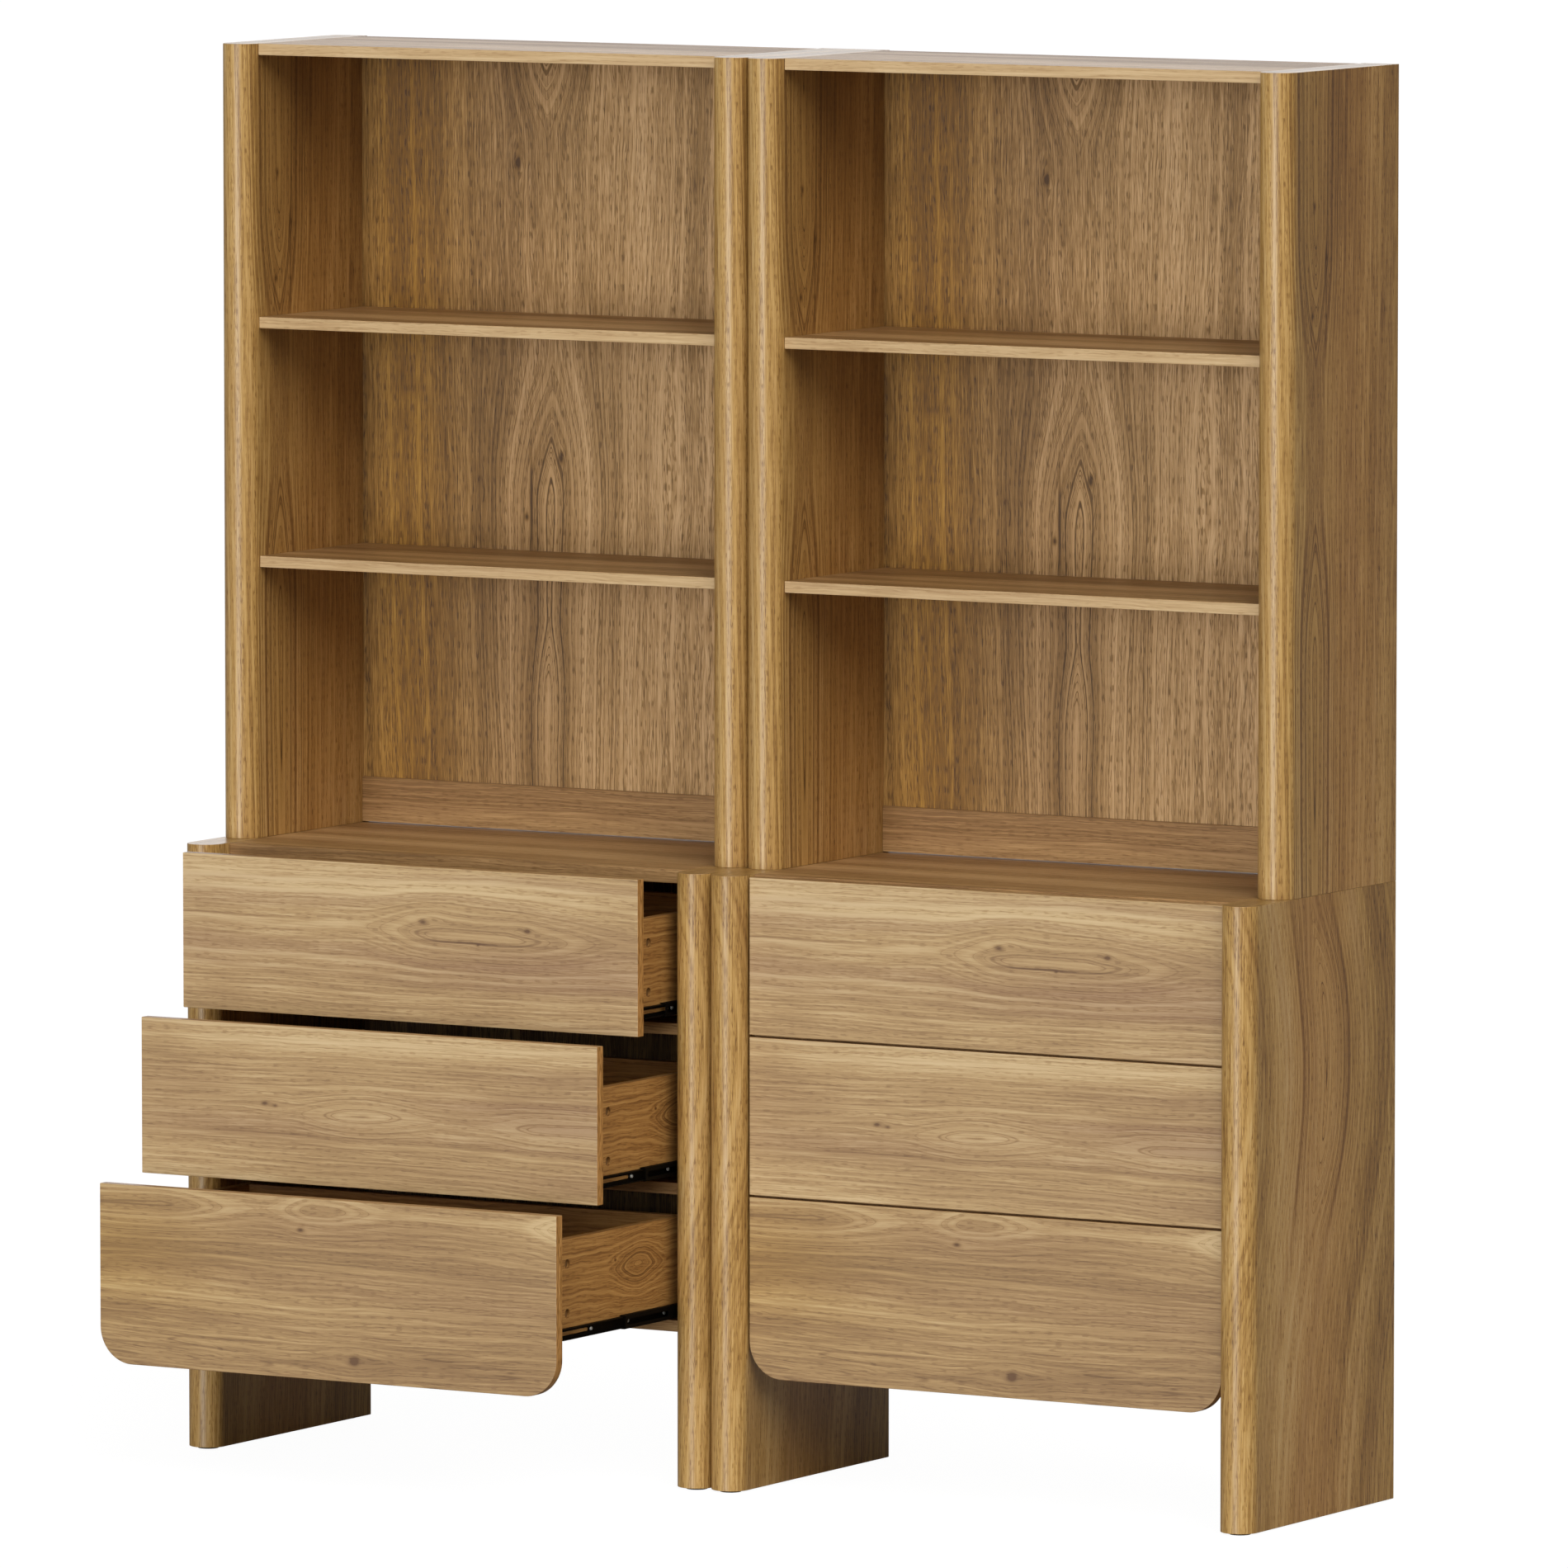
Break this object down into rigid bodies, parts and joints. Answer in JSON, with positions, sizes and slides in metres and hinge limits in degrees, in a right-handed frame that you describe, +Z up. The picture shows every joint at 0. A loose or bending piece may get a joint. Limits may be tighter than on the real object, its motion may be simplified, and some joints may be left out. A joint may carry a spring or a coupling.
{
  "type": "bookcase with bottom drawers",
  "caption": "Twin-tower oak laminate bookcase: open hutches with shelves on deeper drawer chests, thick side slabs with half-round fronts, handleless drawers on telescopic slides.",
  "frame": {"origin": "on the floor, at the middle of the whole object's width and depth with the left drawers standing open", "axes": "+Z up, front of the bookcase towards -Y, +X to the right seen from the front"},
  "size_m": [1.6008, 0.661, 1.843],
  "materials": {
    "oak_laminate_upright": "satin oak laminate with upright grain",
    "oak_laminate_board": "satin oak laminate with level grain",
    "oak_laminate_front": "satin sandy oak laminate with level grain",
    "slide_steel": "black electrophoretic paint on rolled steel",
    "glide_pad": "dark felt-faced plastic",
    "zinc_fastener": "bright zinc"
  },
  "bodies": {
    "carcass": {"left_hutch_side_left": "oak_laminate_upright", "left_hutch_side_right": "oak_laminate_upright", "left_hutch_top": "oak_laminate_board", "left_shelf_upper": "oak_laminate_board", "left_shelf_lower": "oak_laminate_board", "left_hutch_back": "oak_laminate_upright", "left_hutch_rear_rail": "oak_laminate_board", "left_chest_side_left": "oak_laminate_upright", "left_chest_side_right": "oak_laminate_upright", "left_chest_top": "oak_laminate_board", "left_chest_bottom": "oak_laminate_board", "left_chest_back": "oak_laminate_upright", "left_divider_upper": "oak_laminate_board", "left_divider_lower": "oak_laminate_board", "right_hutch_side_left": "oak_laminate_upright", "right_hutch_side_right": "oak_laminate_upright", "right_hutch_top": "oak_laminate_board", "right_shelf_upper": "oak_laminate_board", "right_shelf_lower": "oak_laminate_board", "right_hutch_back": "oak_laminate_upright", "right_hutch_rear_rail": "oak_laminate_board", "right_chest_side_left": "oak_laminate_upright", "right_chest_side_right": "oak_laminate_upright", "right_chest_top": "oak_laminate_board", "right_chest_bottom": "oak_laminate_board", "right_chest_back": "oak_laminate_upright", "right_divider_upper": "oak_laminate_board", "right_divider_lower": "oak_laminate_board"},
    "left_upper_drawer": {"left_upper_drawer_front": "oak_laminate_front", "left_upper_drawer_box": "oak_laminate_board", "left_upper_drawer_bottom": "oak_laminate_board"},
    "left_upper_links": {"left_upper_slide_link_left": "slide_steel", "left_upper_slide_link_right": "slide_steel"},
    "left_middle_drawer": {"left_middle_drawer_front": "oak_laminate_front", "left_middle_drawer_box": "oak_laminate_board", "left_middle_drawer_bottom": "oak_laminate_board"},
    "left_middle_links": {"left_middle_slide_link_left": "slide_steel", "left_middle_slide_link_right": "slide_steel"},
    "left_lower_drawer": {"left_lower_drawer_front": "oak_laminate_front", "left_lower_drawer_box": "oak_laminate_board", "left_lower_drawer_bottom": "oak_laminate_board"},
    "left_lower_links": {"left_lower_slide_link_left": "slide_steel", "left_lower_slide_link_right": "slide_steel"},
    "right_upper_drawer": {"right_upper_drawer_front": "oak_laminate_front", "right_upper_drawer_box": "oak_laminate_board", "right_upper_drawer_bottom": "oak_laminate_board"},
    "right_upper_links": {"right_upper_slide_link_left": "slide_steel", "right_upper_slide_link_right": "slide_steel"},
    "right_middle_drawer": {"right_middle_drawer_front": "oak_laminate_front", "right_middle_drawer_box": "oak_laminate_board", "right_middle_drawer_bottom": "oak_laminate_board"},
    "right_middle_links": {"right_middle_slide_link_left": "slide_steel", "right_middle_slide_link_right": "slide_steel"},
    "right_lower_drawer": {"right_lower_drawer_front": "oak_laminate_front", "right_lower_drawer_box": "oak_laminate_board", "right_lower_drawer_bottom": "oak_laminate_board"},
    "right_lower_links": {"right_lower_slide_link_left": "slide_steel", "right_lower_slide_link_right": "slide_steel"}
  },
  "joints": [
    {"name": "left_upper_drawer_travel", "type": "slide", "parent": "carcass", "child": "left_upper_drawer", "axis": [0, -1, 0], "range_m": [-0.1, 0.2]},
    {"name": "left_upper_link_travel", "type": "slide", "parent": "carcass", "child": "left_upper_links", "axis": [0, -1, 0], "range_m": [-0.05, 0.1]},
    {"name": "left_middle_drawer_travel", "type": "slide", "parent": "carcass", "child": "left_middle_drawer", "axis": [0, -1, 0], "range_m": [-0.2, 0.1]},
    {"name": "left_middle_link_travel", "type": "slide", "parent": "carcass", "child": "left_middle_links", "axis": [0, -1, 0], "range_m": [-0.1, 0.05]},
    {"name": "left_lower_drawer_travel", "type": "slide", "parent": "carcass", "child": "left_lower_drawer", "axis": [0, -1, 0], "range_m": [-0.3, 0]},
    {"name": "left_lower_link_travel", "type": "slide", "parent": "carcass", "child": "left_lower_links", "axis": [0, -1, 0], "range_m": [-0.15, 0]},
    {"name": "right_upper_drawer_travel", "type": "slide", "parent": "carcass", "child": "right_upper_drawer", "axis": [0, -1, 0], "range_m": [0, 0.3]},
    {"name": "right_upper_link_travel", "type": "slide", "parent": "carcass", "child": "right_upper_links", "axis": [0, -1, 0], "range_m": [0, 0.15]},
    {"name": "right_middle_drawer_travel", "type": "slide", "parent": "carcass", "child": "right_middle_drawer", "axis": [0, -1, 0], "range_m": [0, 0.3]},
    {"name": "right_middle_link_travel", "type": "slide", "parent": "carcass", "child": "right_middle_links", "axis": [0, -1, 0], "range_m": [0, 0.15]},
    {"name": "right_lower_drawer_travel", "type": "slide", "parent": "carcass", "child": "right_lower_drawer", "axis": [0, -1, 0], "range_m": [0, 0.3]},
    {"name": "right_lower_link_travel", "type": "slide", "parent": "carcass", "child": "right_lower_links", "axis": [0, -1, 0], "range_m": [0, 0.15]}
  ],
  "couplings": [
    {"joint": "left_upper_link_travel", "follows": "left_upper_drawer_travel", "ratio": 0.5},
    {"joint": "left_middle_link_travel", "follows": "left_middle_drawer_travel", "ratio": 0.5},
    {"joint": "left_lower_link_travel", "follows": "left_lower_drawer_travel", "ratio": 0.5},
    {"joint": "right_upper_link_travel", "follows": "right_upper_drawer_travel", "ratio": 0.5},
    {"joint": "right_middle_link_travel", "follows": "right_middle_drawer_travel", "ratio": 0.5},
    {"joint": "right_lower_link_travel", "follows": "right_lower_drawer_travel", "ratio": 0.5}
  ]
}
